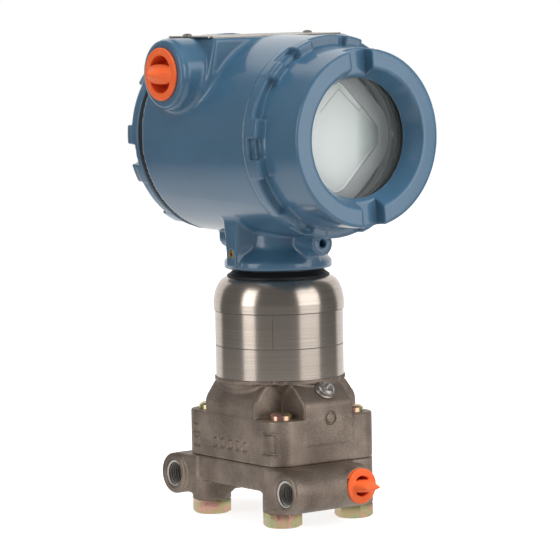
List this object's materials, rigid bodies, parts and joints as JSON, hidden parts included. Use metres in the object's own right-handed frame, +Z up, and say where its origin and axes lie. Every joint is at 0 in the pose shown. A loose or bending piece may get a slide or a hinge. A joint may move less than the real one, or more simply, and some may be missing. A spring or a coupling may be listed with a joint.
{
  "type": "pressure transmitter",
  "caption": "Differential pressure transmitter: flat process flange and sensor can under a turning painted housing with screw-on covers, window and plugged entries.",
  "frame": {"origin": "on the plane that the four flange bolt heads stand on, under the middle of the overall length and width", "axes": "+Z up along the sensor can; the front window faces -Y; the two open vent ports face -X"},
  "size_m": [0.1278, 0.1402, 0.2415],
  "materials": {
    "cast_steel": "investment-cast and blasted stainless steel",
    "zinc_steel": "yellow-passivated zinc on steel",
    "brushed_steel": "turned and brushed stainless steel",
    "tag_steel": "thin rolled stainless plate, bare",
    "blue_paint": "glossy blue polyurethane paint on die-cast aluminium",
    "brass_screw": "turned",
    "black_rubber": "moulded nitrile",
    "black_plastic": "moulded, fine grain",
    "grey_plastic": "moulded, fine grain",
    "circuit_board": "solder-masked laminate",
    "display": "unlit liquid-crystal panel",
    "clear_plastic": "polished clear polycarbonate",
    "window_glass": "polished tempered glass",
    "orange_plastic": "moulded polyethylene"
  },
  "bodies": {
    "module": {"coplanar_flange": "cast_steel", "flange_bolts": "zinc_steel", "process_o_rings": "black_rubber", "module_base": "cast_steel", "isolator_diaphragms": "brushed_steel", "fill_tubes": "brushed_steel", "sensor_cell": "brushed_steel", "sensor_can": "brushed_steel", "dome_cap": "brushed_steel", "board_carrier": "black_plastic", "module_board": "circuit_board", "module_neck": "brushed_steel", "header_connector": "black_plastic", "neck_seal": "black_rubber", "ground_screw": "brushed_steel", "ground_washer": "brushed_steel"},
    "housing_body": {"housing": "blue_paint", "rotation_set_screw": "brass_screw", "tag_plate": "tag_steel", "tag_screws": "brushed_steel", "electronics_board": "circuit_board", "board_posts": "brass_screw", "electronics_carrier": "black_plastic", "display_body": "grey_plastic", "display_panel": "display", "display_lens": "clear_plastic", "meter_screws": "brushed_steel", "terminal_block": "black_plastic", "terminal_screws": "brushed_steel", "feedthrough": "brass_screw"},
    "front_seal": {"front_o_ring": "black_rubber"},
    "front_cover_body": {"front_cover": "blue_paint", "window_gasket": "black_rubber", "window_glass": "window_glass", "window_retainer": "black_plastic"},
    "rear_seal": {"rear_o_ring": "black_rubber"},
    "rear_cover_body": {"rear_cover": "blue_paint"},
    "plug_left": {"conduit_plug_left": "orange_plastic"},
    "plug_right": {"conduit_plug_right": "orange_plastic"},
    "plug_front": {"process_plug_front": "orange_plastic"},
    "plug_rear": {"process_plug_rear": "orange_plastic"}
  },
  "joints": [
    {"name": "housing_turn", "type": "hinge", "parent": "module", "child": "housing_body", "pos_m": [0, 0.00395, 0.13], "axis": [0, 0, 1], "range_deg": [-180, 180]},
    {"name": "front_cover_advance", "type": "slide", "parent": "housing_body", "child": "front_seal", "axis": [0, -1, 0], "range_m": [0, 0.0101]},
    {"name": "front_cover_turn", "type": "hinge", "parent": "front_seal", "child": "front_cover_body", "pos_m": [0, 0.00395, 0.1906], "axis": [0, -1, 0], "range_deg": [0, 1800]},
    {"name": "rear_cover_advance", "type": "slide", "parent": "housing_body", "child": "rear_seal", "axis": [0, 1, 0], "range_m": [0, 0.0101]},
    {"name": "rear_cover_turn", "type": "hinge", "parent": "rear_seal", "child": "rear_cover_body", "pos_m": [0, 0.00395, 0.1906], "axis": [0, 1, 0], "range_deg": [0, 1800]},
    {"name": "left_plug_pull", "type": "slide", "parent": "housing_body", "child": "plug_left", "axis": [-1, 0, 0], "range_m": [0, 0.017]},
    {"name": "right_plug_pull", "type": "slide", "parent": "housing_body", "child": "plug_right", "axis": [1, 0, 0], "range_m": [0, 0.017]},
    {"name": "front_port_plug_pull", "type": "slide", "parent": "module", "child": "plug_front", "axis": [0, -1, 0], "range_m": [0, 0.014]},
    {"name": "rear_port_plug_pull", "type": "slide", "parent": "module", "child": "plug_rear", "axis": [0, 1, 0], "range_m": [0, 0.014]}
  ],
  "couplings": [
    {"joint": "front_cover_advance", "follows": "front_cover_turn", "m_per_rad": 0.00031831},
    {"joint": "rear_cover_advance", "follows": "rear_cover_turn", "m_per_rad": 0.00031831}
  ]
}
